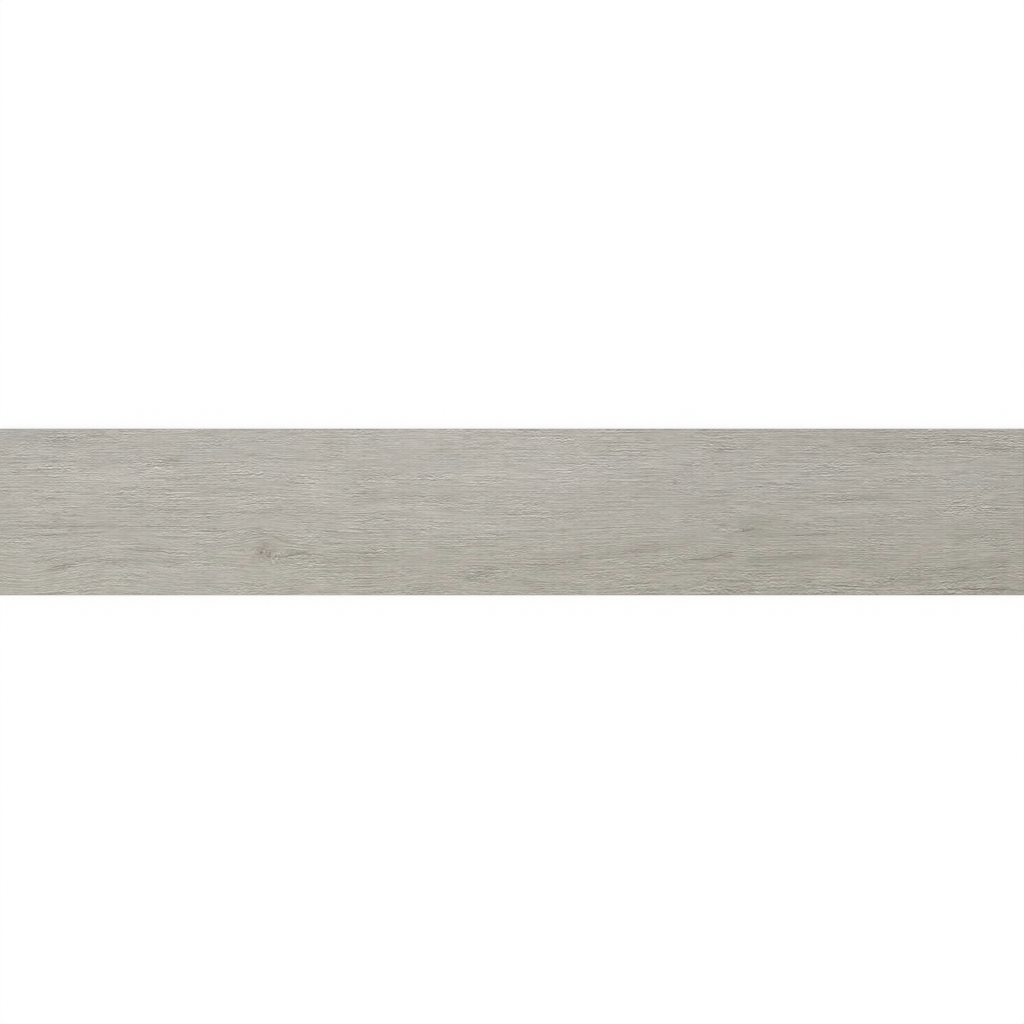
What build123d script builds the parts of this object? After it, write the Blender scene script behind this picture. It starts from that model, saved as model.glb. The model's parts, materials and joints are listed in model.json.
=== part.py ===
from build123d import *
import os
from math import floor

# Wood-look porcelain plank tile: one slab, dry-pressed, fired and ground square on its four edges.
# Frame: +X runs along the grain, +Z is out of the face, and the origin is the middle of the back,
# level with the crests of its ribs.

# Driving dimensions, in millimetres and degrees
tile_length = 1200.0
tile_width = 195.0
tile_thickness = 9.5  # from the rib crests to the face
face_bevel = 0.8  # 45 degree micro-bevel, ground all round the face
back_chamfer = 1.2  # 45 degree chamfer, ground all round the back

# Keyed back: a grid of ribs stands between shallow square pockets that take the adhesive
rib_pitch = 25.0
rib_width = 4.0  # at the crest
key_depth = 0.8
key_draft = 45.0  # lean of the pocket walls, which lets the punch draw out of the pressed powder
back_border = 8.0  # least plain margin between the outline and the first pocket

pocket_mouth = rib_pitch - rib_width


def pockets_along(side):
    return floor((side - 2 * back_border + rib_width) / rib_pitch)


# One pocket of the keyed back, as one stud of the press punch leaves it
with BuildPart() as pocket:
    with BuildSketch(Plane.XY):
        Rectangle(pocket_mouth, pocket_mouth)
    extrude(amount=key_depth, taper=key_draft)

with BuildPart() as plank_tile:
    # The pressed slab
    with BuildSketch(Plane.XY):
        Rectangle(tile_length, tile_width)
    extrude(amount=tile_thickness)

    # The ground arrises of the face and of the back
    face = plank_tile.faces().sort_by(Axis.Z)[-1]
    chamfer(face.edges(), length=face_bevel)
    back = plank_tile.faces().sort_by(Axis.Z)[0]
    chamfer(back.edges(), length=back_chamfer)

    # The keyed back: as many whole pockets as fit inside the border
    with GridLocations(rib_pitch, rib_pitch, pockets_along(tile_length), pockets_along(tile_width)):
        add(pocket.part, mode=Mode.SUBTRACT)

plank_tile.part.label = "plank_tile"

os.makedirs("parts", exist_ok=True)
export_step(plank_tile.part, "parts/plank_tile.step")
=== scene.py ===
import json
import math
import bpy
import numpy as np
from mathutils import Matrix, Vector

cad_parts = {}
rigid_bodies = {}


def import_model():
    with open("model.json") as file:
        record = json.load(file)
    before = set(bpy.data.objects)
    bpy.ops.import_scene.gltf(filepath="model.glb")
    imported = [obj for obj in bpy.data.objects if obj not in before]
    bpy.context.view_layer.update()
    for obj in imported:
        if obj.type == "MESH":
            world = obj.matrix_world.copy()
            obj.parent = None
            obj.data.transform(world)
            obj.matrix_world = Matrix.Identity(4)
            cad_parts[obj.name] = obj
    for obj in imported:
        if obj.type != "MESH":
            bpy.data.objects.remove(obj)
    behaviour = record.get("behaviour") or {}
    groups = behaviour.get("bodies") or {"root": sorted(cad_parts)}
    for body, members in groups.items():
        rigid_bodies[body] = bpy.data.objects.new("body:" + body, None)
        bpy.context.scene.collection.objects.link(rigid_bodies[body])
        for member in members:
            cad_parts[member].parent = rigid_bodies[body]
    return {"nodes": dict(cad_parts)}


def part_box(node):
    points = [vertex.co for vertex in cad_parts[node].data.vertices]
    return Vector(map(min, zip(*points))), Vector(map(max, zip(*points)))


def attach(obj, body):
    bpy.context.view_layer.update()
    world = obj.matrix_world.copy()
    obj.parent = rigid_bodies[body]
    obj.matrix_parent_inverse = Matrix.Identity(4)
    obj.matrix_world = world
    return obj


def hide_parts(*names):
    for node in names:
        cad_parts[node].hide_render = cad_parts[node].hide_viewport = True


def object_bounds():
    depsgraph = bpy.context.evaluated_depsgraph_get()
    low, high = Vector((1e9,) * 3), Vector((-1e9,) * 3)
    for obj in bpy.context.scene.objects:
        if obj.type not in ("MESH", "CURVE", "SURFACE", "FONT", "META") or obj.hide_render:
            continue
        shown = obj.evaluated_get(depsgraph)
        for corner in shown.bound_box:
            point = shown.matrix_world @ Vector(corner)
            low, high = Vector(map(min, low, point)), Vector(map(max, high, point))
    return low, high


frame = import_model()
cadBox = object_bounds()
print("frame loaded")


# Selecting by place

def deselectAll():
    if bpy.context.object and bpy.context.object.mode != "OBJECT":
        bpy.ops.object.mode_set(mode="OBJECT")
    bpy.ops.object.select_all(action="DESELECT")


def makeActive(piece):
    deselectAll()
    piece.select_set(True)
    bpy.context.view_layer.objects.active = piece


def startEdit(piece, kind):
    makeActive(piece)
    bpy.ops.object.mode_set(mode="EDIT")
    bpy.ops.mesh.select_mode(type=kind)


def pickFaces(piece, test):  # test takes a face's middle and its normal
    startEdit(piece, "FACE")
    bpy.ops.mesh.select_all(action="DESELECT")
    bpy.ops.object.mode_set(mode="OBJECT")
    for face in piece.data.polygons:
        face.select = test(face.center, face.normal)
    bpy.ops.object.mode_set(mode="EDIT")


def pickEdges(piece, test):  # test takes an edge's two ends
    startEdit(piece, "EDGE")
    bpy.ops.mesh.select_all(action="DESELECT")
    bpy.ops.object.mode_set(mode="OBJECT")
    spots = piece.data.vertices
    for edge in piece.data.edges:
        edge.select = test(*(spots[i].co for i in edge.vertices))
    bpy.ops.object.mode_set(mode="EDIT")


# A number running through a node tree, so that a formula reads as one. The same formulas make
# the pressed relief (geometry nodes) and the print over it (shader nodes).
class Wire:
    def __init__(self, tree, socket):
        self.tree = tree
        self.socket = socket

    def into(self, operation, *others):
        node = self.tree.nodes.new("ShaderNodeMath")
        node.operation = operation
        for slot, value in zip(node.inputs, (self, *others)):
            if isinstance(value, Wire):
                self.tree.links.new(value.socket, slot)
            else:
                slot.default_value = value
        return Wire(self.tree, node.outputs[0])

    def __add__(self, other):
        return self.into("ADD", other)

    def __sub__(self, other):
        return self.into("SUBTRACT", other)

    def __mul__(self, other):
        return self.into("MULTIPLY", other)

    def __truediv__(self, other):
        return self.into("DIVIDE", other)

    def __pow__(self, other):
        return self.into("POWER", other)

    def scaled(self, by, plus):
        return self.into("MULTIPLY_ADD", by, plus)

    def clipped(self, low, high):
        return self.into("MAXIMUM", low).into("MINIMUM", high)

    def bell(self):  # exp of minus the square
        return (self * self * -1.0).into("EXPONENT")

    def step(self, low, high):  # soft step from 0 at low to 1 at high
        node = self.tree.nodes.new("ShaderNodeMapRange")
        node.interpolation_type = "SMOOTHSTEP"
        node.clamp = False  # a soft step stays within 0 and 1 by itself
        self.tree.links.new(self.socket, node.inputs["Value"])
        node.inputs["From Min"].default_value = low
        node.inputs["From Max"].default_value = high
        return Wire(self.tree, node.outputs[0])


def placeOf(tree, output):  # x, y and z in millimetres
    split = tree.nodes.new("ShaderNodeSeparateXYZ")
    tree.links.new(output, split.inputs[0])
    return [Wire(tree, socket) * 1000 for socket in split.outputs]


def noise(x, y, along, across, seed, detail=0.0):  # about -1 to 1, one blot is along by across mm
    tree = x.tree
    acrossSeed = seed * 1.7  # so that the two directions differ
    spotX = x.scaled(1 / along, seed)
    spotY = y.scaled(1 / across, acrossSeed)
    spot = tree.nodes.new("ShaderNodeCombineXYZ")  # made after what it reads, which keeps a shader small
    tree.links.new(spotX.socket, spot.inputs[0])
    tree.links.new(spotY.socket, spot.inputs[1])
    node = tree.nodes.new("ShaderNodeTexNoise")
    node.noise_dimensions = "2D"
    node.inputs["Scale"].default_value = 1.0
    node.inputs["Detail"].default_value = detail
    tree.links.new(spot.outputs[0], node.inputs["Vector"])
    return Wire(tree, node.outputs[0]).scaled(2.0, -1.0)


# The wood grain of the face. Places, and the half lengths of spots, are in picture pixels, other
# lengths in millimetres, and tones in print levels of 0 to 255. A noise is given as the length and
# the width of its blots, a seed and, where it has finer detail, the amount of that.

pictureSide = 1024  # pixels, and the face spans them all
pixelSize = (cadBox[1].x - cadBox[0].x) * 1000 / pictureSide


def fromPicture(spot):
    middle = pictureSide / 2
    return (spot[0] - middle) * pixelSize, (middle - spot[1]) * pixelSize


def spotGroup(tree):  # a node group that adds one long soft spot to a number
    name = "soft spot, " + tree.bl_idname
    if name in bpy.data.node_groups:
        return bpy.data.node_groups[name]
    group = bpy.data.node_groups.new(name, tree.bl_idname)
    inputs = ("x", "y", "base", "at x", "at y", "per long", "per wide", "lean", "amount")
    for label in inputs:
        group.interface.new_socket(label, in_out="INPUT", socket_type="NodeSocketFloat")
    group.interface.new_socket("sum", in_out="OUTPUT", socket_type="NodeSocketFloat")
    start = group.nodes.new("NodeGroupInput")
    end = group.nodes.new("NodeGroupOutput")
    wires = [Wire(group, start.outputs[label]) for label in inputs]
    x, y, base, atX, atY, perLong, perWide, lean, amount = wires
    fromX = x - atX
    along = fromX * perLong
    across = (y - atY - fromX * lean) * perWide
    bell = ((along * along + across * across) * -1.0).into("EXPONENT")
    group.links.new(bell.into("MULTIPLY_ADD", amount, base).socket, end.inputs[0])
    return group


def addSpot(base, x, y, spot, amount):  # spots are long soft ellipses; lean is their slope
    tree = x.tree
    kind = "GeometryNodeGroup" if tree.bl_idname == "GeometryNodeTree" else "ShaderNodeGroup"
    node = tree.nodes.new(kind)
    node.node_tree = spotGroup(tree)
    for label, value in (("x", x), ("y", y), ("base", base)):
        if isinstance(value, Wire):
            tree.links.new(value.socket, node.inputs[label])
        else:
            node.inputs[label].default_value = value
    node.inputs["at x"].default_value, node.inputs["at y"].default_value = fromPicture(spot["at"])
    node.inputs["per long"].default_value = 1 / (spot["long"] * pixelSize)
    node.inputs["per wide"].default_value = 1 / (spot["wide"] * pixelSize)
    node.inputs["lean"].default_value = spot.get("lean", 0.0)
    node.inputs["amount"].default_value = amount
    return Wire(tree, node.outputs[0])


def soft(x, y, spot):  # 1 in the middle of the spot, 0 outside it
    return addSpot(0.0, x, y, spot, 1.0)


def sumOfSpots(x, y, spots, key):  # added up before anything joins them, which keeps a shader small
    total = 0.0
    for spot in spots:
        total = addSpot(total, x, y, spot, spot[key])
    return total


grain = {
    "slowBend": 2.0,
    "bendNoise": (190, 42, 3.1, 1.0),
    # the grain parts round a knot: radius is the half height of the gap, reach its half length
    "knots": [
        dict(at=(265, 552), radius=14.0, reach=25.0),
        dict(at=(752, 528), radius=9.0, reach=34.0),
    ],
    "knotParting": 0.72,
    "leastGap": 0.001,  # so that nothing is divided by 0
    # humps push the grain lines up or down, as round a buried branch
    "humps": [
        dict(at=(118, 566), long=48, wide=24, lift=9.0),
        dict(at=(28, 574), long=26, wide=22, lift=-4.0),
        dict(at=(300, 538), long=55, wide=24, lift=4.0),
        dict(at=(405, 513), long=44, wide=16, lift=4.5),
        dict(at=(452, 586), long=66, wide=24, lift=8.0),
        dict(at=(690, 562), long=110, wide=36, lift=11.0),
        dict(at=(830, 570), long=78, wide=32, lift=6.0),
        dict(at=(1030, 572), long=100, wide=36, lift=12.0),
        dict(at=(225, 474), long=60, wide=18, lift=1.5),
    ],
    # the brushed relief, and where it is stronger, or calmer, than elsewhere
    "brushMean": 0.9,
    "brushSwing": 0.92,
    "brushNoise": (60, 16, 8.3, 1.0),
    "brushLimits": (0.42, 2.3),
    "brushedWeight": 1.25,
    "brushed": [
        dict(at=(48, 468), long=36, wide=13, more=0.65),
        dict(at=(163, 463), long=18, wide=5, more=0.5),
        dict(at=(250, 473), long=14, wide=5, more=0.55),
        dict(at=(178, 502), long=22, wide=10, more=0.8),
        dict(at=(300, 508), long=34, wide=7, more=0.45),
        dict(at=(413, 497), long=30, wide=5, more=0.5),
        dict(at=(528, 515), long=26, wide=6, more=0.75),
        dict(at=(560, 440), long=22, wide=6, more=0.7),
        dict(at=(722, 441), long=24, wide=7, more=0.7),
        dict(at=(985, 442), long=52, wide=9, more=0.7),
        dict(at=(975, 507), long=36, wide=9, more=0.75),
        dict(at=(100, 560), long=34, wide=6, more=0.45),
        dict(at=(484, 572), long=22, wide=7, more=0.65),
        dict(at=(850, 587), long=20, wide=7, more=0.4),
        dict(at=(965, 588), long=46, wide=8, more=0.6),
        dict(at=(100, 533), long=70, wide=6, more=-0.3),
        dict(at=(400, 456), long=46, wide=13, more=-0.3),
        dict(at=(228, 574), long=34, wide=8, more=-0.3),
        dict(at=(650, 510), long=60, wide=20, more=-0.25),
        dict(at=(842, 511), long=34, wide=6, more=-0.25),
        dict(at=(930, 533), long=36, wide=8, more=-0.25),
        dict(at=(292, 548), long=12, wide=9, more=0.5),
    ],
    "longLines": [(170, 0.55), (70, 0.55), (26, 0.5)],  # length of a fine line, weight
    "longSeed": 31.7,
    "shortLines": [(10, 0.46), (4.4, 0.74), (2.1, 0.56)],
    "shortSeed": 61.9,
    "seedStep": 7.3,
    "finePitch": 1.1,
    "crestHighlight": 0.68,  # painted crest highlight: how much a line lightens its neighbours
    # how far beside a line its painted crest highlights lie
    "crestHighlightStep": 1.36,
    "standOut": (0.2, 0.86),  # strong lines count for more than faint ones
    "chopMean": 0.92,  # weight of the short lines
    "chopLeast": 0.25,
    "chopNoise": (64, 15, 29.3, 1.0),
    "ripple": 0.45,  # side to side waver of the fine lines
    "rippleNoise": (9, 6, 83.9),
    "grooves": [(46, 0.6), (16, 0.7)],
    "grooveSeed": 11.3,
    "groovePitch": 2.3,
    "waver": 0.8,  # side to side waver of the grooves
    "waverNoise": (15, 7, 5.7),
}


def grainFlow(x, y):  # the cross-grain coordinate, parted round the knots and lifted over the humps
    flow = y
    for knot in grain["knots"]:
        atX, atY = fromPicture(knot["at"])
        gap = ((x - atX) / knot["reach"]).bell() * knot["radius"] ** 2
        away = y - atY
        flow = flow - away * gap / (away * away + gap + grain["leastGap"]) * grain["knotParting"]
    flow = flow + noise(x, y, *grain["bendNoise"]) * grain["slowBend"]
    return flow - sumOfSpots(x, y, grain["humps"], "lift")


def brushStrength(x, y):
    strength = noise(x, y, *grain["brushNoise"]) * grain["brushSwing"] + grain["brushMean"]
    strength = strength + sumOfSpots(x, y, grain["brushed"], "more") * grain["brushedWeight"]
    return strength.clipped(*grain["brushLimits"])


def layered(x, y, layers, pitch, seed):
    total = None
    for number, (length, weight) in enumerate(layers):
        part = noise(x, y, length, pitch, seed + grain["seedStep"] * number) * weight
        total = part if total is None else total + part
    return total


def grooveLines(x, y, flow):  # the pressed grooves, which the mesh has too
    wavering = flow + noise(x, y, *grain["waverNoise"]) * grain["waver"]
    return layered(x, wavering, grain["grooves"], grain["groovePitch"], grain["grooveSeed"])


def fineLinesAndHighlights(x, y, flow):  # the printed fibres, with painted crest highlights on their neighbours
    choppy = (noise(x, y, *grain["chopNoise"]) + grain["chopMean"]).into("MAXIMUM", grain["chopLeast"])

    def lines(shift):
        long = layered(x, flow + shift, grain["longLines"], grain["finePitch"], grain["longSeed"])
        short = layered(x, flow + shift, grain["shortLines"], grain["finePitch"], grain["shortSeed"])
        return short.into("MULTIPLY_ADD", choppy, long)

    # painted highlight: the lines beside each fibre are lightened, as lit crests
    beside = lines(grain["crestHighlightStep"]) + lines(-grain["crestHighlightStep"])
    fibresAndHighlights = lines(0.0) - beside * (0.5 * grain["crestHighlight"])
    return fibresAndHighlights * fibresAndHighlights.into("ABSOLUTE").scaled(*grain["standOut"])


# The plank

plank = {
    "node": "plank_tile",
    "body": "root",
    "slot": "wood_look_porcelain",
    "name": "wood_look_plank",
    "cutsAlong": (2, 96),  # cut twice: into 3 runs, then 97 steps each
    "cutsAcross": (3, 79),
    "bevel": 0.0008,
    "chamfer": 0.0012,
    "near": 0.00001,  # two places this near are one
    "smoothUnder": 35.0,  # degrees between faces
    "levelRise": 0.99,  # least rise of the normal of a level face
    "glazedRise": 0.75,  # and of a glazed one
    "backRise": -0.3,  # most rise of the normal of a face of the back
    "reliefMean": 0.09,  # mm below the face plane
    "reliefSwing": 0.16,
    "reliefDeepest": 0.3,
    "bakeMap": "OFBake",
    # strips of the map, as low and high v, and the low and high u of the two ends
    "mapFace": (0.31, 0.998),
    "mapBack": (0.135, 0.30),
    "mapFront": (0.092, 0.125),
    "mapRear": (0.05, 0.083),
    "mapEnds": (0.008, 0.04),
    "mapEndSpans": ((0.005, 0.24), (0.26, 0.495)),
}


def copyOfNode():
    makeActive(frame["nodes"][plank["node"]])
    bpy.ops.object.duplicate()
    piece = bpy.context.object
    bpy.ops.object.parent_clear(type="CLEAR_KEEP_TRANSFORM")
    for key in list(piece.keys()):
        del piece[key]
    piece.name = plank["name"]
    piece.data.name = plank["name"]
    startEdit(piece, "VERT")
    bpy.ops.mesh.select_all(action="SELECT")
    bpy.ops.mesh.remove_doubles(threshold=plank["near"])
    bpy.ops.mesh.customdata_custom_splitnormals_clear()
    return piece


def gridFace(piece, faceTop):  # the plain face becomes a fine grid, closed with the bevel round it
    near = plank["near"]

    def onRim(a, b):
        return min(a.z, b.z) > faceTop - near

    def onFace(middle, normal):
        return normal.z > plank["levelRise"] and middle.z > faceTop - near

    pickFaces(piece, onFace)
    bpy.ops.mesh.delete(type="FACE")
    for other, cuts in ((1, plank["cutsAlong"]), (0, plank["cutsAcross"])):
        for count in cuts:
            pickEdges(piece, lambda a, b: onRim(a, b) and abs(a[other] - b[other]) < near)
            bpy.ops.mesh.subdivide(number_cuts=count)
    pickEdges(piece, onRim)
    bpy.ops.mesh.fill_grid(span=math.prod(n + 1 for n in plank["cutsAlong"]), use_interp_simple=True)
    bpy.ops.object.mode_set(mode="OBJECT")


def pressRelief(piece, faceTop, halfLong, halfWide):
    group = bpy.data.node_groups.new("pressed relief", "GeometryNodeTree")
    group.interface.new_socket("Geometry", in_out="INPUT", socket_type="NodeSocketGeometry")
    group.interface.new_socket("Geometry", in_out="OUTPUT", socket_type="NodeSocketGeometry")
    start = group.nodes.new("NodeGroupInput")
    end = group.nodes.new("NodeGroupOutput")
    place = group.nodes.new("GeometryNodeInputPosition")
    x, y, z = placeOf(group, place.outputs[0])
    near = plank["near"] * 1000
    onFace = z.into("GREATER_THAN", faceTop * 1000 - near)
    lines = grooveLines(x, y, grainFlow(x, y)) * brushStrength(x, y)
    depth = (lines * -plank["reliefSwing"] + plank["reliefMean"]).clipped(0.0, plank["reliefDeepest"])
    depth = depth * onFace * 0.001
    # the rim slides down along the bevel, so that the grain runs out through the ground edge
    slides = []
    for value, half in ((x, halfLong), (y, halfWide)):
        rim = (half - plank["bevel"]) * 1000 - near
        slides.append(value.into("ABSOLUTE").into("GREATER_THAN", rim) * value.into("SIGN") * depth)
    shift = group.nodes.new("ShaderNodeCombineXYZ")
    for slot, value in zip(shift.inputs, (*slides, depth * -1.0)):
        group.links.new(value.socket, slot)
    move = group.nodes.new("GeometryNodeSetPosition")
    group.links.new(start.outputs[0], move.inputs["Geometry"])
    group.links.new(shift.outputs[0], move.inputs["Offset"])
    group.links.new(move.outputs[0], end.inputs[0])
    makeActive(piece)
    bpy.ops.object.modifier_add(type="NODES")
    piece.modifiers[-1].node_group = group
    bpy.ops.object.modifier_apply(modifier=piece.modifiers[-1].name)


# The glazed and printed face

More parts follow.
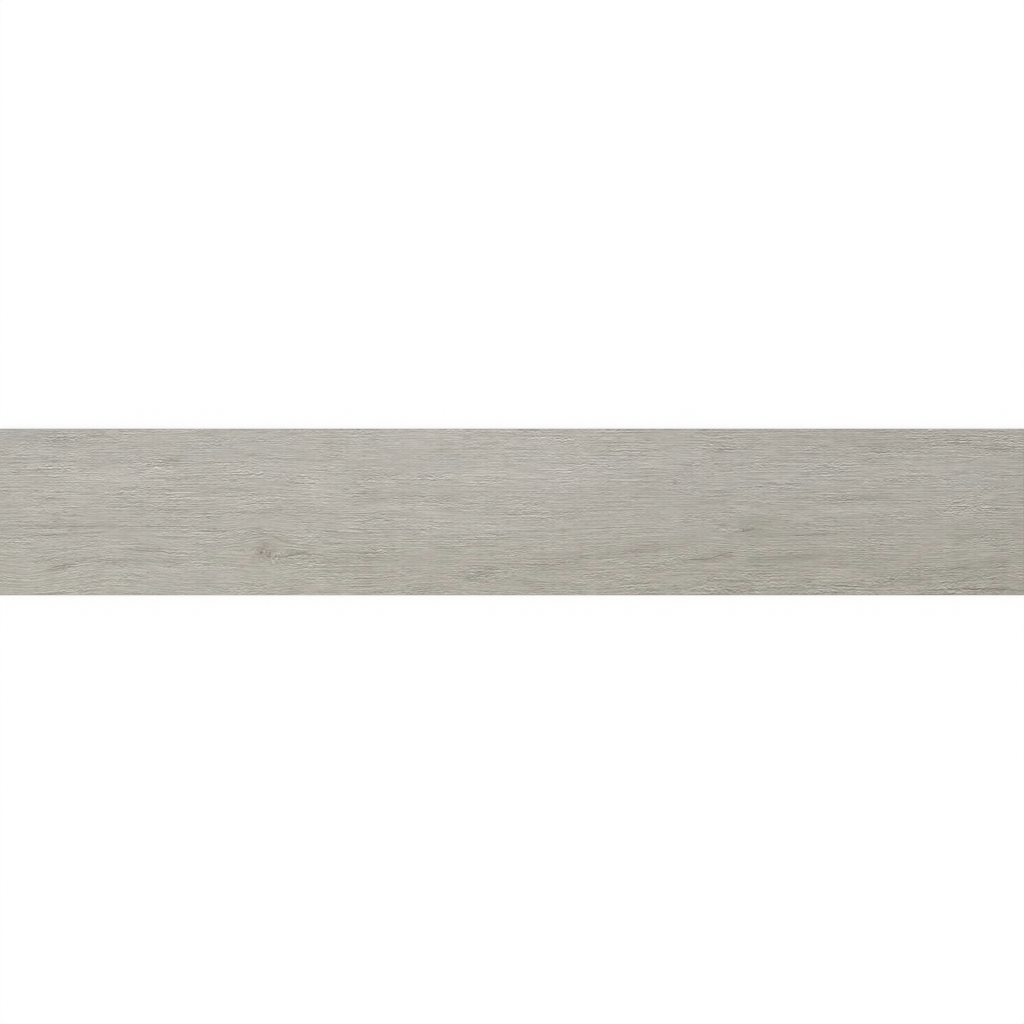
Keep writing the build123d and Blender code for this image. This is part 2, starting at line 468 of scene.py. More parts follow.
glaze = {
    "base": (180.9, 176.6, 167.5),  # red, green and blue
    "fine": 31.6,  # levels for each fine line
    "grooves": 10.0,
    "darkLines": -14.0,
    "darkLineNoise": (46, 1.3, 91.1),
    "darkLineStep": (0.26, 0.6),
    "darkDashes": -14.0,
    "darkDashNoise": (11, 1.2, 99.1),
    "whiteDashes": 8.0,
    "whiteDashNoise": (9, 1.2, 95.3),
    "whiteOver": 1.1,  # where the brushing is stronger than this
    "dashStep": (0.3, 0.62),
    "lineLimit": 170.0,
    "brightLimit": 600.0,
    # finer than the picture shows, for a close look
    "hairs": 7.0,
    "hairNoise": (34, 0.42, 101.7),
    "hairRidge": 0.3,
    "pores": -14.0,
    "poreNoise": (6.5, 0.4, 105.1),
    "poreStep": (0.26, 0.46),
    "poreDent": 0.45,
    # how the surface takes the light
    "bump": 0.00006,  # metres
    "roughness": 0.56,
    "fibreGloss": -0.05,
    "glossSwing": 0.05,
    "glossNoise": (90, 14, 87.7),
    # broad light and dark
    "clouds": 2.8,
    "cloudNoise": (150, 6, 53.1, 1.0),
    "veins": 2.0,
    "veinNoise": (64, 3.0, 55.9),
    "rightShade": -8.0,
    "rightSpan": (-49, 408),
    "lowRightShade": -7.0,
    "lowSpan": (14, -80),
    "lowRightSpan": (-424, -96),
    "lowRightShare": 0.8,
    # waver of the soft places below, and how far they break up into streaks
    "driftAlong": 7.0,
    "driftAlongNoise": (55, 13, 41.3),
    "driftAcross": 1.8,
    "driftAcrossNoise": (42, 11, 47.9),
    "streaks": 0.65,
    "streakNoise": (80, 1.7, 57.7),
    # soft light and dark places of the print: long and wide are half lengths, lean is the slope
    "tones": [
        dict(at=(113, 477), long=58, wide=9, tone=7.0),
        dict(at=(40, 451), long=22, wide=4, tone=4.0),
        dict(at=(179, 495), long=10, wide=3, tone=8.0),
        dict(at=(80, 500), long=12, wide=4, tone=4.0),
        dict(at=(265, 469), long=70, wide=6, tone=4.0),
        dict(at=(321, 495), long=24, wide=8, tone=7.0, lean=-0.2),
        dict(at=(400, 508), long=26, wide=4, tone=9.0),
        dict(at=(435, 515), long=14, wide=5, tone=5.0, lean=-0.3),
        dict(at=(375, 482), long=28, wide=5, tone=4.0),
        dict(at=(470, 477), long=45, wide=8, tone=5.0),
        dict(at=(440, 438), long=140, wide=12, tone=3.5),
        dict(at=(348, 526), long=10, wide=4, tone=5.0),
        dict(at=(313, 537), long=14, wide=4, tone=4.0),
        dict(at=(413, 551), long=22, wide=4, tone=4.0),
        dict(at=(500, 530), long=42, wide=5, tone=4.0),
        dict(at=(115, 546), long=9, wide=4, tone=5.0),
        dict(at=(225, 578), long=12, wide=10, tone=4.0),
        dict(at=(323, 583), long=8, wide=6, tone=6.0),
        dict(at=(37, 578), long=9, wide=6, tone=5.0),
        dict(at=(243, 563), long=9, wide=6, tone=3.0),
        dict(at=(279, 572), long=16, wide=5, tone=4.0),
        dict(at=(133, 573), long=42, wide=8, tone=3.5),
        dict(at=(560, 470), long=55, wide=22, tone=5.0),
        dict(at=(649, 464), long=12, wide=3, tone=8.0),
        dict(at=(695, 453), long=12, wide=4, tone=5.0),
        dict(at=(777, 477), long=15, wide=4, tone=5.0),
        dict(at=(755, 511), long=16, wide=4, tone=9.0),
        dict(at=(857, 510), long=42, wide=5, tone=6.0),
        dict(at=(930, 467), long=34, wide=7, tone=5.5),
        dict(at=(830, 572), long=19, wide=6, tone=8.0),
        dict(at=(969, 558), long=13, wide=5, tone=6.0),
        dict(at=(842, 546), long=13, wide=4, tone=4.0),
        dict(at=(72, 442), long=27, wide=4, tone=-7.0),
        dict(at=(10, 462), long=15, wide=4, tone=-5.0),
        dict(at=(117, 462), long=55, wide=4, tone=-4.0),
        dict(at=(253, 456), long=16, wide=4, tone=-4.0),
        dict(at=(124, 489), long=18, wide=3, tone=-5.0),
        dict(at=(174, 489), long=15, wide=3, tone=-5.0),
        dict(at=(232, 490), long=27, wide=4, tone=-3.5),
        dict(at=(177, 509), long=28, wide=5, tone=-7.5),
        dict(at=(270, 512), long=18, wide=4, tone=-7.0),
        dict(at=(307, 511), long=22, wide=3, tone=-5.0),
        dict(at=(380, 499), long=42, wide=5, tone=-5.5),
        dict(at=(386, 513), long=28, wide=3, tone=-6.5),
        dict(at=(440, 497), long=38, wide=5, tone=-5.5),
        dict(at=(88, 527), long=75, wide=3, tone=-5.5),
        dict(at=(62, 535), long=44, wide=3, tone=-7.0),
        dict(at=(151, 549), long=30, wide=4, tone=-6.0),
        dict(at=(121, 561), long=42, wide=4, tone=-6.0),
        dict(at=(64, 566), long=26, wide=4, tone=-6.0, lean=0.42),
        dict(at=(38, 560), long=16, wide=6, tone=-5.0),
        dict(at=(6, 562), long=10, wide=6, tone=-5.0),
        dict(at=(361, 535), long=32, wide=4, tone=-6.5),
        dict(at=(360, 557), long=80, wide=6, tone=-6.0),
        dict(at=(368, 580), long=10, wide=5, tone=-5.0),
        dict(at=(427, 590), long=22, wide=5, tone=-7.0),
        dict(at=(480, 572), long=17, wide=4, tone=-6.0),
        dict(at=(490, 566), long=26, wide=5, tone=-3.5),
        dict(at=(265, 551), long=17, wide=11, tone=-4.0),
        dict(at=(276, 551), long=7, wide=8, tone=-5.0),
        dict(at=(759, 525), long=24, wide=12, tone=-7.5),
        dict(at=(447, 542), long=20, wide=4, tone=-4.0),
        dict(at=(1001, 449), long=25, wide=3, tone=-6.0),
        dict(at=(880, 443), long=50, wide=9, tone=-3.5),
        dict(at=(707, 504), long=20, wide=5, tone=-4.5),
        dict(at=(857, 499), long=40, wide=4, tone=-6.5),
        dict(at=(925, 516), long=15, wide=4, tone=-4.0),
        dict(at=(650, 517), long=11, wide=4, tone=-4.0),
        dict(at=(749, 531), long=12, wide=5, tone=-5.0),
        dict(at=(750, 519), long=10, wide=5, tone=-6.0),
        dict(at=(815, 534), long=58, wide=3, tone=-5.0),
        dict(at=(595, 555), long=85, wide=6, tone=-6.0, lean=0.15),
        dict(at=(552, 566), long=16, wide=4, tone=-6.0),
        dict(at=(645, 549), long=18, wide=4, tone=-5.0, lean=0.12),
        dict(at=(702, 559), long=15, wide=3, tone=-6.5),
        dict(at=(727, 554), long=17, wide=4, tone=-6.0, lean=0.2),
        dict(at=(778, 560), long=36, wide=5, tone=-8.5),
        dict(at=(815, 555), long=40, wide=4, tone=-5.5),
        dict(at=(735, 586), long=18, wide=5, tone=-7.0),
        dict(at=(660, 589), long=18, wide=4, tone=-5.0),
        dict(at=(532, 586), long=22, wide=4, tone=-8.0, lean=-0.28),
        dict(at=(610, 594), long=13, wide=4, tone=-7.0),
        dict(at=(888, 581), long=28, wide=5, tone=-5.5, lean=0.1),
        dict(at=(970, 567), long=64, wide=9, tone=-6.5, lean=0.15),
        dict(at=(980, 591), long=29, wide=4, tone=-7.5),
        dict(at=(933, 594), long=13, wide=4, tone=-6.0),
        dict(at=(1018, 522), long=10, wide=5, tone=-7.0),
        dict(at=(822, 592), long=12, wide=4, tone=6.0),
        dict(at=(990, 535), long=38, wide=8, tone=-4.5),
        # broad and faint
        dict(at=(30, 440), long=60, wide=12, tone=-3.2),
        dict(at=(815, 472), long=110, wide=14, tone=2.8),
        dict(at=(610, 499), long=100, wide=14, tone=-3.4),
        dict(at=(100, 522), long=110, wide=13, tone=-3.0),
        dict(at=(560, 525), long=55, wide=9, tone=-2.2),
        dict(at=(458, 526), long=50, wide=9, tone=2.2),
        dict(at=(262, 552), long=48, wide=13, tone=-2.8),
        dict(at=(862, 582), long=55, wide=12, tone=3.4),
        dict(at=(150, 582), long=150, wide=12, tone=-1.7),
        dict(at=(930, 550), long=90, wide=12, tone=1.8),
        dict(at=(358, 584), long=45, wide=9, tone=1.8),
        dict(at=(0, 512), long=12, wide=110, tone=-2.6),
        dict(at=(1023, 512), long=14, wide=110, tone=-2.2),
    ],
    # the eye of the first knot, and the crumbly patch to its right
    "eye": dict(at=(264, 552.5), long=7.2, wide=6.3, tone=-15.3, red=5.0),
    "crumbs": dict(at=(277, 556.5), long=8.5, wide=5.5),
    "crumbNoise": (2.1, 1.68, 61.3),
    "crumbStep": (0.2, 0.5),
    "crumbTone": 38.0,
    "eyeCrumbs": 0.8,
    "stir": 2.2,  # waver of the eye's outline
    "stirNoise": (4.0, 3.0, 67.1),
    # the fine lines fade out in the hearts of the knots
    "calm": [
        dict(at=(268, 549), long=10, wide=6, fade=0.65),
        dict(at=(748, 526), long=30, wide=8, fade=0.6),
        dict(at=(750, 520), long=9, wide=4, fade=0.5),
        dict(at=(722, 525.5), long=9, wide=2.2, fade=0.6),
    ],
    # crisp single marks: in the first eye, over it, in the heart of the second knot, and along the grain
    "strokes": [
        dict(at=(262, 552.4), long=1.6, wide=0.9, tone=-34.0),
        dict(at=(263.2, 549), long=1.9, wide=0.8, tone=-26.0),
        dict(at=(258.5, 549.5), long=1.7, wide=0.9, tone=-22.0),
        dict(at=(269, 556), long=2.2, wide=0.9, tone=-26.0),
        dict(at=(264.8, 550.4), long=1.0, wide=0.9, tone=41.0),
        dict(at=(273.8, 561.8), long=0.9, wide=2.0, tone=24.0),
        dict(at=(266, 543), long=5.5, wide=2.4, tone=-15.0, lean=-0.2),
        dict(at=(256, 528.5), long=6.5, wide=0.8, tone=-27.0),
        dict(at=(265, 535), long=8.0, wide=0.8, tone=-24.0),
        dict(at=(277, 537.7), long=4.5, wide=0.9, tone=-26.0, lean=-0.42),
        dict(at=(290, 542), long=7.0, wide=0.8, tone=-19.0, lean=-0.12),
        dict(at=(743.4, 530.6), long=1.3, wide=1.5, tone=-39.0),
        dict(at=(748.2, 530.3), long=4.0, wide=0.8, tone=-36.0, lean=0.2),
        dict(at=(738.3, 531.2), long=2.2, wide=0.8, tone=-20.0, lean=0.35),
        dict(at=(745.5, 533), long=4.5, wide=0.8, tone=15.0, lean=0.08),
        dict(at=(722, 525.3), long=6.8, wide=0.7, tone=-36.0, lean=-0.06),
        dict(at=(819, 534.3), long=15, wide=0.8, tone=-13.0),
        dict(at=(779, 535), long=18, wide=0.8, tone=-12.0),
        dict(at=(716, 556.6), long=13, wide=0.8, tone=-26.0, lean=0.33),
        dict(at=(695, 559.2), long=9, wide=0.8, tone=-23.0),
        dict(at=(786, 556.2), long=21, wide=0.8, tone=-19.0, lean=0.04),
        dict(at=(66, 564.6), long=24, wide=0.9, tone=-19.0, lean=0.27),
        dict(at=(120, 560.5), long=44, wide=0.9, tone=-14.0, lean=-0.02),
        dict(at=(66, 526.3), long=46, wide=0.9, tone=-22.0),
        dict(at=(50, 535.7), long=26, wide=1.3, tone=-8.0),
        dict(at=(161, 525.8), long=28, wide=0.9, tone=-14.0),
        dict(at=(146, 550.4), long=13, wide=0.8, tone=-14.0),
        dict(at=(243, 489.8), long=17, wide=0.8, tone=-20.0),
        dict(at=(255, 512.6), long=24, wide=0.8, tone=-17.0, lean=-0.03),
        dict(at=(855, 499), long=36, wide=0.8, tone=-15.0),
        dict(at=(990, 589), long=24, wide=0.9, tone=-20.0, lean=-0.03),
        dict(at=(896, 580), long=20, wide=0.8, tone=-15.0, lean=0.18),
    ],
    # how much of a level of each hue goes to red, green and blue
    "oliveMix": (-0.2, 0.1, -1.2),
    "redMix": (0.6, -0.4, 0.0),
    "coolMix": (-0.3, 0.0, 1.0),
    "mauveMix": (0.0, 0.0, 0.35),
    "lowestMix": (0.0, 0.0, -1.4),
    "toneMix": (0.0, 0.0, 0.04),
    # places that lean to olive, or away from it
    "oliveNoise": (30, 14, 71.3, 1.0),
    "olive": [
        dict(at=(276, 541), long=9, wide=9, tone=1.9),
        dict(at=(300, 580), long=40, wide=12, tone=1.0),
        dict(at=(766, 528), long=16, wide=9, tone=1.8),
        dict(at=(110, 560), long=90, wide=26, tone=-0.6),
        dict(at=(185, 578), long=50, wide=14, tone=-0.6),
        dict(at=(640, 582), long=120, wide=14, tone=0.9),
        dict(at=(560, 465), long=60, wide=18, tone=-0.7),
        dict(at=(700, 470), long=60, wide=14, tone=-0.8),
        dict(at=(445, 442), long=60, wide=12, tone=-0.6),
    ],
    # blotches that lean to red, or away from it
    "blots": 0.7,
    "blotNoise": (24, 16, 77.7),
    # in the lower third, which is yellower and has a wavy border, they are stronger
    "lowestSpan": (-18, -48),
    "lowestWave": 16.0,
    "lowestNoise": (45, 20, 73.9),
    "pink": 3.0,
    "pinkStep": (0.2, 0.5),
    "pinkSpan": (-260, -120),  # less of it to the left
    "pinkShare": 0.75,
    "green": -1.5,
    "greenStep": (0.0, -0.3),
    # a bluish band slopes down to the right, higher up
    "cool": 2.2,
    "coolNoise": (64, 30, 75.1),
    "coolStep": (0.0, 0.3),
    "coolAt": 58.0,
    "coolSlope": 0.04,
    "coolHalf": 24.0,
    # single places that lean to red or to blue
    "pinkMarks": [
        dict(at=(243, 563), long=8, wide=7, tone=2.6),
        dict(at=(428, 578), long=16, wide=14, tone=1.5),
        dict(at=(620, 591), long=18, wide=6, tone=1.3),
        dict(at=(748, 530), long=8, wide=4, tone=-0.8),
    ],
    "coolMarks": [
        dict(at=(10, 434), long=26, wide=8, tone=4.0),
        dict(at=(822, 592), long=9, wide=4, tone=5.0),
    ],
}


def newMaterial(name):
    material = bpy.data.materials.new(name)
    material.use_nodes = True
    return material, material.node_tree, material.node_tree.nodes["Principled BSDF"]


def printedColour(tree, levels):  # print levels to a colour, by the curve of a screen
    lift = 255 * 0.055
    span = 255 + lift
    colour = tree.nodes.new("ShaderNodeCombineColor")
    for slot, level in zip(colour.inputs, levels):
        linear = level.scaled(1 / span, lift / span).into("MAXIMUM", 0.0) ** 2.4
        tree.links.new(linear.socket, slot)
    return colour.outputs[0]


def bumpOf(tree, height, depth):  # depth in metres for a height of 1
    node = tree.nodes.new("ShaderNodeBump")
    node.inputs["Strength"].default_value = 1.0
    node.inputs["Distance"].default_value = depth
    tree.links.new(height.socket, node.inputs["Height"])
    return node.outputs[0]


def finishWith(tree, shader, levels, gloss, height, depth):
    tree.links.new(printedColour(tree, levels), shader.inputs["Base Color"])
    tree.links.new(gloss.socket, shader.inputs["Roughness"])
    tree.links.new(bumpOf(tree, height, depth), shader.inputs["Normal"])


def printTone(x, y, flow):  # soft light and dark, in levels
    driftX = x + noise(x, y, *glaze["driftAlongNoise"]) * glaze["driftAlong"]
    driftY = y + noise(x, y, *glaze["driftAcrossNoise"]) * glaze["driftAcross"]
    tone = noise(x, flow, *glaze["cloudNoise"]) * glaze["clouds"]
    tone = tone + noise(x, flow, *glaze["veinNoise"]) * glaze["veins"]
    tone = tone + sumOfSpots(driftX, driftY, glaze["tones"], "tone")
    tone = tone * noise(x, flow, *glaze["streakNoise"]).scaled(glaze["streaks"], 1.0)
    share = glaze["lowRightShare"]
    lowRight = y.step(*glaze["lowSpan"]) * x.step(*glaze["lowRightSpan"]).scaled(share, 1 - share)
    return tone + x.step(*glaze["rightSpan"]) * glaze["rightShade"] + lowRight * glaze["lowRightShade"]


def knotPrint(x, y):  # tone and redness
    crumbs = noise(x, y, *glaze["crumbNoise"])
    faint, full = glaze["crumbStep"]
    crumbs = (crumbs.step(faint, full) - crumbs.step(-faint, -full)) * glaze["crumbTone"]
    stir = noise(x, y, *glaze["stirNoise"]) * glaze["stir"]
    eye = soft(x + stir, y + stir, glaze["eye"])
    tone = crumbs * (eye * glaze["eyeCrumbs"] + soft(x, y, glaze["crumbs"])) + eye * glaze["eye"]["tone"]
    tone = tone + sumOfSpots(x, y, glaze["strokes"], "tone")
    return tone, eye * glaze["eye"]["red"]


def linePrint(x, y, flow, rippled, fibresAndHighlights, strength):  # the lines of the print, in levels
    dark = noise(x, rippled, *glaze["darkLineNoise"]).step(*glaze["darkLineStep"]) * glaze["darkLines"]
    dashes = noise(x, rippled, *glaze["darkDashNoise"]).step(*glaze["dashStep"])
    dark = dark + dashes * glaze["darkDashes"]
    white = noise(x, rippled, *glaze["whiteDashNoise"]).step(*glaze["dashStep"])
    white = white * (strength - glaze["whiteOver"]).into("MAXIMUM", 0.0)
    lines = (fibresAndHighlights * glaze["fine"] + dark) * strength + grooveLines(x, y, flow) * glaze["grooves"]
    lines = lines + white * glaze["whiteDashes"]
    # no line stands out too far, and a bright one less than a dark one
    lines = lines / (lines.into("ABSOLUTE") / glaze["lineLimit"] + lines / glaze["brightLimit"] + 1.0)
    for spot in glaze["calm"]:
        lines = lines * soft(x, y, spot).scaled(-spot["fade"], 1.0)
    return lines


def huesOf(x, y, redness):  # each hue's levels, with its shares of red, green and blue
    olive = noise(x, y, *glaze["oliveNoise"]) + sumOfSpots(x, y, glaze["olive"], "tone")
    border = y + noise(x, y, *glaze["lowestNoise"]) * glaze["lowestWave"]
    lowest = border.step(*glaze["lowestSpan"])
    blots = noise(x, y, *glaze["blotNoise"])
    share = glaze["pinkShare"]
    mauve = blots.step(*glaze["pinkStep"]) * lowest * glaze["pink"]
    mauve = mauve * x.step(*glaze["pinkSpan"]).scaled(share, 1 - share)
    redness = redness + blots * glaze["blots"] + mauve
    redness = redness + blots.step(*glaze["greenStep"]) * lowest * glaze["green"]
    redness = redness + sumOfSpots(x, y, glaze["pinkMarks"], "tone")
    band = ((y + x * glaze["coolSlope"] - glaze["coolAt"]) / glaze["coolHalf"]).bell()
    cool = noise(x, y, *glaze["coolNoise"]).step(*glaze["coolStep"]) * band * glaze["cool"]
    cool = cool + sumOfSpots(x, y, glaze["coolMarks"], "tone")
    return [
        (olive, glaze["oliveMix"]),
        (redness, glaze["redMix"]),
        (cool, glaze["coolMix"]),
        (mauve, glaze["mauveMix"]),
        (lowest, glaze["lowestMix"]),
    ]


def glazeMaterial():
    material, tree, shader = newMaterial("printed matt glaze")
    place = tree.nodes.new("ShaderNodeTexCoord")
    x, y = placeOf(tree, place.outputs["Object"])[:2]
    flow = grainFlow(x, y)
    strength = brushStrength(x, y)
    rippled = flow + noise(x, y, *grain["rippleNoise"]) * strength * grain["ripple"]
    fibresAndHighlights = fineLinesAndHighlights(x, y, rippled)
    lines = linePrint(x, y, flow, rippled, fibresAndHighlights, strength)
    tone = printTone(x, y, flow)
    knot, redness = knotPrint(x, y)
    hairs = noise(x, rippled, *glaze["hairNoise"])
    pores = noise(x, rippled, *glaze["poreNoise"]).step(*glaze["poreStep"])
    level = lines + tone + knot + hairs * glaze["hairs"] + pores * glaze["pores"]
    hues = huesOf(x, y, redness) + [(tone, glaze["toneMix"])]
    levels = []
    for number, base in enumerate(glaze["base"]):
        mixed = level + base
        for hue, mix in hues:
            if mix[number]:
                mixed = hue.scaled(mix[number], mixed)
        levels.append(mixed)
    gloss = fibresAndHighlights.scaled(glaze["fibreGloss"], glaze["roughness"])
    gloss = gloss + noise(x, flow, *glaze["glossNoise"]) * glaze["glossSwing"]
    ridgeSeed = grain["longSeed"] + grain["seedStep"]  # all long lines but the longest
    ridges = layered(x, rippled, grain["longLines"][1:], grain["finePitch"], ridgeSeed)
    ridges = ridges + hairs * glaze["hairRidge"] - pores * glaze["poreDent"]
    finishWith(tree, shader, levels, gloss, ridges, glaze["bump"])
    return material


# The ground edges: body of the tile, with the cut edge of the glaze and of the pale engobe under it

edge = {
    "base": (129.0, 126.0, 118.0),
    "grit": 6.0,
    "gritNoise": (0.8, 0.7, 21.1, 1.0),
    "clouds": 4.0,
    "cloudNoise": (90, 20, 25.3, 1.0),
    "marks": 4.0,  # the grinding wheel's
    "markNoise": (34, 0.5, 17.9),
    "speckNoise": (1.5, 1.1, 12.7),
    "darkSpecks": -20.0,
    "darkSpeckStep": (0.42, 0.7),
    "paleSpecks": 14.0,
    "paleSpeckStep": (-0.45, -0.7),
    "engobe": 40.0,  # levels lighter
    "engobeAt": 9.05,  # mm above the back, and so are the spans
    "engobeWide": 0.13,
    "glazeCut": 12.0,
    "glazeSpan": (9.2, 9.25),
    "wall": 16.0,  # levels lighter below the bevel, which leaves the bevel a darker band round the face
    "wallSpan": (8.7, 8.55),
    "roughness": 0.62,
    "markGloss": 0.1,
    "speckBump": 0.5,
    "bump": 0.00002,  # metres
}


def edgeMaterial():
    material, tree, shader = newMaterial("ground porcelain edge")
    place = tree.nodes.new("ShaderNodeTexCoord")
    x, y, z = placeOf(tree, place.outputs["Object"])
    run = x + y  # runs along every edge
    specks = noise(run, z, *edge["speckNoise"])
    marks = noise(run, z, *edge["markNoise"])
    level = noise(run, z, *edge["gritNoise"]) * edge["grit"]
    level = level + noise(run, z, *edge["cloudNoise"]) * edge["clouds"] + marks * edge["marks"]
    level = level + specks.step(*edge["darkSpeckStep"]) * edge["darkSpecks"]
    level = level + specks.step(*edge["paleSpeckStep"]) * edge["paleSpecks"]
    level = level + ((z - edge["engobeAt"]) / edge["engobeWide"]).bell() * edge["engobe"]
    level = level + z.step(*edge["glazeSpan"]) * edge["glazeCut"]
    level = level + z.step(*edge["wallSpan"]) * edge["wall"]
    levels = [level + base for base in edge["base"]]
    gloss = marks.scaled(edge["markGloss"], edge["roughness"])
    finishWith(tree, shader, levels, gloss, marks + specks * edge["speckBump"], edge["bump"])
    return material


# The back: raw fired body, with a dusting of white kiln wash on the crests of its ribs, and painted
# shade in its pockets

back = {
    "base": (171.0, 165.0, 152.0),
    "wash": (22.0, 25.3, 30.8),  # red, green and blue
    "washSpan": (0.45, 0.1),  # mm up from the crests, as is the next one
    "pocketSpan": (0.5, 0.8),
    # painted shade: the floors of the pockets are darker
    "pocket": -9.0,
    "dustNoise": (26, 22, 33.7, 3.0),
    "dustStep": (-0.5, 0.35),
    "clouds": 7.0,
    "cloudNoise": (150, 80, 37.1, 2.0),
    "bands": 2.5,  # left by the kiln's rollers
    "bandNoise": (12, 160, 43.7, 1.0),
    "grit": 5.0,
    "gritNoise": (1.3, 1.3, 14.9, 1.0),
    "pits": -16.0,
    "pitNoise": (2.2, 2.2, 49.3),
    "pitStep": (0.5, 0.75),
    "toneMix": (1.0, 1.0, 1.1),
    "roughness": 0.86,
    "gritGloss": 0.05,
    "dustBump": 0.4,
    "bump": 0.00006,  # metres
}


def backMaterial():
    material, tree, shader = newMaterial("raw fired back")
    place = tree.nodes.new("ShaderNodeTexCoord")
    x, y, z = placeOf(tree, place.outputs["Object"])
    grit = noise(x, y, *back["gritNoise"])
    dust = noise(x, y, *back["dustNoise"]).step(*back["dustStep"])
    tone = noise(x, y, *back["cloudNoise"]) * back["clouds"]
    tone = tone + noise(x, y, *back["bandNoise"]) * back["bands"] + grit * back["grit"]
    tone = tone + noise(x, y, *back["pitNoise"]).step(*back["pitStep"]) * back["pits"]
    # painted shade in the pockets
    tone = tone + z.step(*back["pocketSpan"]) * back["pocket"]
    wash = z.step(*back["washSpan"]) * dust
    levels = []
    for base, washed, share in zip(back["base"], back["wash"], back["toneMix"]):
        levels.append(tone * share + wash.scaled(washed, base))
    gloss = grit.scaled(back["gritGloss"], back["roughness"])
    finishWith(tree, shader, levels, gloss, grit + dust * back["dustBump"], back["bump"])
    return material


def dressPlank(piece, faceTop, halfLong, halfWide):
    piece.data.materials.clear()
    for material in (edgeMaterial(), glazeMaterial(), backMaterial()):
        piece.data.materials.append(material)
    faceFloor = faceTop - 0.001 * plank["reliefDeepest"] - plank["near"]
    inLong = halfLong - plank["chamfer"]
    inWide = halfWide - plank["chamfer"]

    def onFace(middle, normal):
        return normal.z > plank["glazedRise"] and middle.z > faceFloor

    def onBack(middle, normal):
        return normal.z < plank["backRise"] and abs(middle.x) < inLong and abs(middle.y) < inWide

    for number, test in enumerate((onFace, onBack), start=1):
        pickFaces(piece, test)
        piece.active_material_index = number
        bpy.ops.object.material_slot_assign()
    deselectAll()


def layBakeMap(piece, faceTop, halfLong, halfWide):
    # the fine lines lie close together across the plank, so the face gets most of the map's height
    mesh = piece.data
    spots = np.empty(len(mesh.vertices) * 3)
    mesh.vertices.foreach_get("co", spots)
    corners = np.empty(len(mesh.loops), dtype=int)
    mesh.loops.foreach_get("vertex_index", corners)
    counts = np.empty(len(mesh.polygons), dtype=int)
    mesh.polygons.foreach_get("loop_total", counts)
    normals = np.empty(len(mesh.polygons) * 3)
    mesh.polygons.foreach_get("normal", normals)
    finishes = np.empty(len(mesh.polygons), dtype=int)
    mesh.polygons.foreach_get("material_index", finishes)
    place = spots.reshape(-1, 3)[corners]
    normal = np.repeat(normals.reshape(-1, 3), counts, axis=0)
    finish = np.repeat(finishes, counts)
    along = 0.5 + 0.5 * place[:, 0] / halfLong
    across = 0.5 + 0.5 * place[:, 1] / halfWide
    up = place[:, 2] / faceTop
    onSide = (finish == 0) & (abs(normal[:, 1]) >= abs(normal[:, 0]))
    onEnd = (finish == 0) & ~onSide
    whole = (0.0, 1.0)
    strips = [
        (finish == 1, along, whole, across, plank["mapFace"]),
        (finish == 2, along, whole, across, plank["mapBack"]),
        (onSide & (normal[:, 1] < 0), along, whole, up, plank["mapFront"]),
        (onSide & (normal[:, 1] >= 0), along, whole, up, plank["mapRear"]),
        (onEnd & (normal[:, 0] < 0), across, plank["mapEndSpans"][0], up, plank["mapEnds"]),
        (onEnd & (normal[:, 0] >= 0), across, plank["mapEndSpans"][1], up, plank["mapEnds"]),
    ]
    flat = np.zeros((len(corners), 2))
    for chosen, uShare, uSpan, vShare, vSpan in strips:
        flat[chosen, 0] = uSpan[0] + uShare[chosen] * (uSpan[1] - uSpan[0])
        flat[chosen, 1] = vSpan[0] + vShare[chosen] * (vSpan[1] - vSpan[0])
    layer = mesh.uv_layers.new(name=plank["bakeMap"])
    layer.data.foreach_set("uv", flat.ravel())


def makePlank():
    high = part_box(plank["node"])[1]
    piece = copyOfNode()
    gridFace(piece, high.z)
    pressRelief(piece, high.z, high.x, high.y)
    print("relief pressed")
    dressPlank(piece, high.z, high.x, high.y)
    layBakeMap(piece, high.z, high.x, high.y)
    makeActive(piece)
    bpy.ops.object.shade_smooth_by_angle(angle=math.radians(plank["smoothUnder"]))
    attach(piece, plank["body"])
    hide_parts(plank["node"])
    print("plank made,", len(piece.data.polygons), "faces")


# The stage

stage = {
    "floorSize": 40.0,
    "floorDrop": 0.0002,
    "floorGlow": 0.82,
    "skyLight": 0.66,
    "sunShare": 0.34,
    "sunTilt": 38.0,
    "sunTurn": -80.0,
    "sunAngle": 35.0,
    "rightTrim": 0.00025,  # keeps the white beyond out of the picture's last column
    "lens": 200.0,
    "sensor": 36.0,
    "farthest": 100.0,
}


def seenStraight(tree):  # 1 for what the camera, a reflection or a clear piece looks at
    path = tree.nodes.new("ShaderNodeLightPath")
    rays = [Wire(tree, path.outputs[f"Is {kind} Ray"]) for kind in ("Camera", "Glossy", "Transmission")]
    return rays[0].into("MAXIMUM", rays[1]).into("MAXIMUM", rays[2])


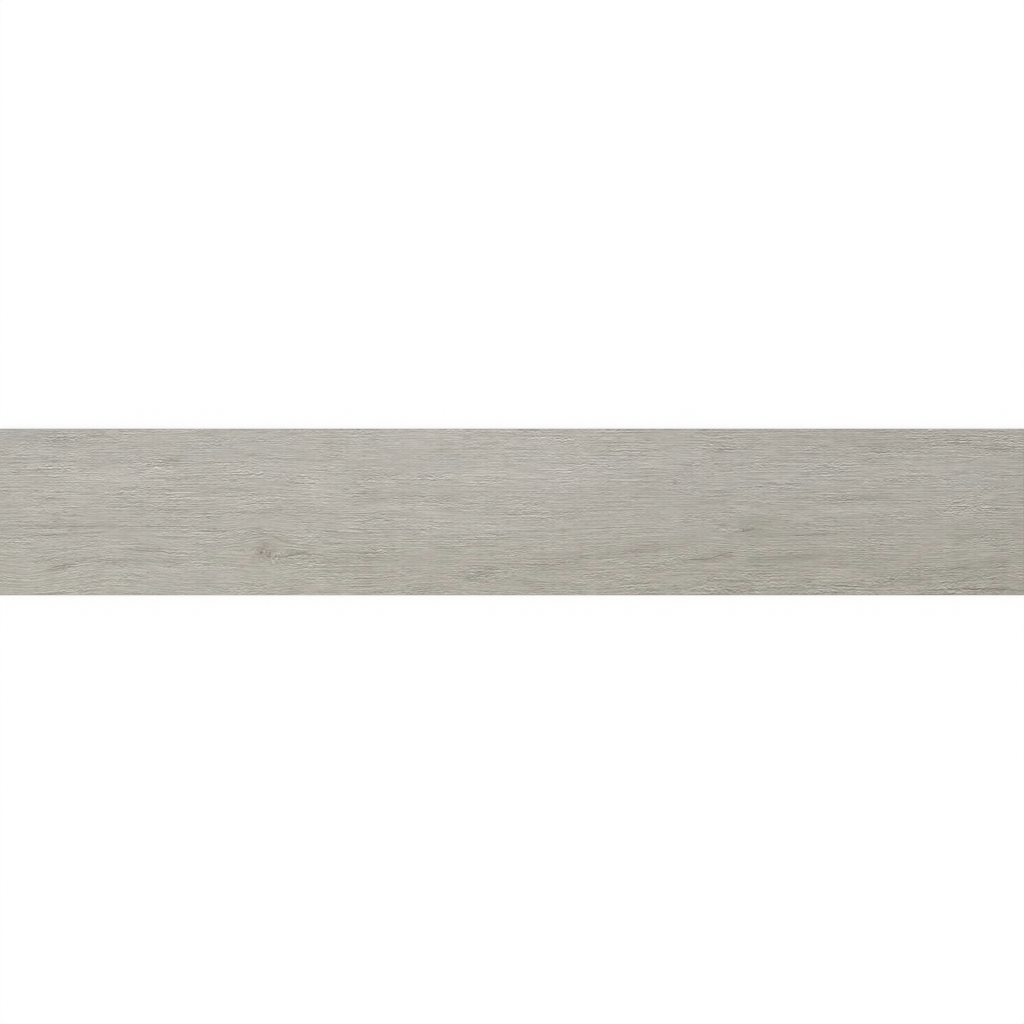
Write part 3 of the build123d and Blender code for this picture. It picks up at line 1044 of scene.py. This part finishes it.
def makeFloor():
    deselectAll()
    bpy.ops.mesh.primitive_plane_add(size=stage["floorSize"], location=(0, 0, -stage["floorDrop"]))
    floor = bpy.context.object
    floor.name = "pale_floor"
    material = bpy.data.materials.new("pale floor")
    material.use_nodes = True
    tree = material.node_tree
    tree.nodes.clear()
    matt = tree.nodes.new("ShaderNodeBsdfDiffuse")
    matt.inputs["Color"].default_value = (1, 1, 1, 1)
    glow = tree.nodes.new("ShaderNodeEmission")
    both = tree.nodes.new("ShaderNodeMixShader")
    tree.links.new((seenStraight(tree) * stage["floorGlow"]).socket, both.inputs[0])
    tree.links.new(matt.outputs[0], both.inputs[1])
    tree.links.new(glow.outputs[0], both.inputs[2])
    out = tree.nodes.new("ShaderNodeOutputMaterial")
    tree.links.new(both.outputs[0], out.inputs["Surface"])
    floor.data.materials.append(material)


def lightStage():
    world = bpy.data.worlds.new("studio")
    bpy.context.scene.world = world
    world.use_nodes = True
    tree = world.node_tree
    tree.nodes.clear()
    sky = tree.nodes.new("ShaderNodeBackground")
    sky.inputs["Color"].default_value = (1, 1, 1, 1)
    bright = seenStraight(tree).scaled(1 - stage["skyLight"], stage["skyLight"])
    tree.links.new(bright.socket, sky.inputs["Strength"])
    out = tree.nodes.new("ShaderNodeOutputWorld")
    tree.links.new(sky.outputs[0], out.inputs["Surface"])
    tilt = math.radians(stage["sunTilt"])
    bpy.ops.object.light_add(type="SUN", rotation=(tilt, 0, math.radians(stage["sunTurn"])))
    sun = bpy.context.object.data
    sun.energy = stage["sunShare"] * math.pi / math.cos(tilt)
    sun.angle = math.radians(stage["sunAngle"])


def makeCamera(low, high):  # straight down; the picture's left edge cuts off the bevel there
    left = low.x + plank["bevel"]
    right = high.x - stage["rightTrim"]
    height = (right - left) * stage["lens"] / stage["sensor"]
    bpy.ops.object.camera_add(location=((left + right) / 2, 0, high.z + height), rotation=(0, 0, 0))
    camera = bpy.context.object
    camera.data.lens = stage["lens"]
    camera.data.sensor_width = stage["sensor"]
    camera.data.clip_end = stage["farthest"]
    bpy.context.scene.camera = camera


makePlank()
makeFloor()
lightStage()
makeCamera(*cadBox)
bpy.context.scene.view_settings.view_transform = "Standard"
print("stage set")
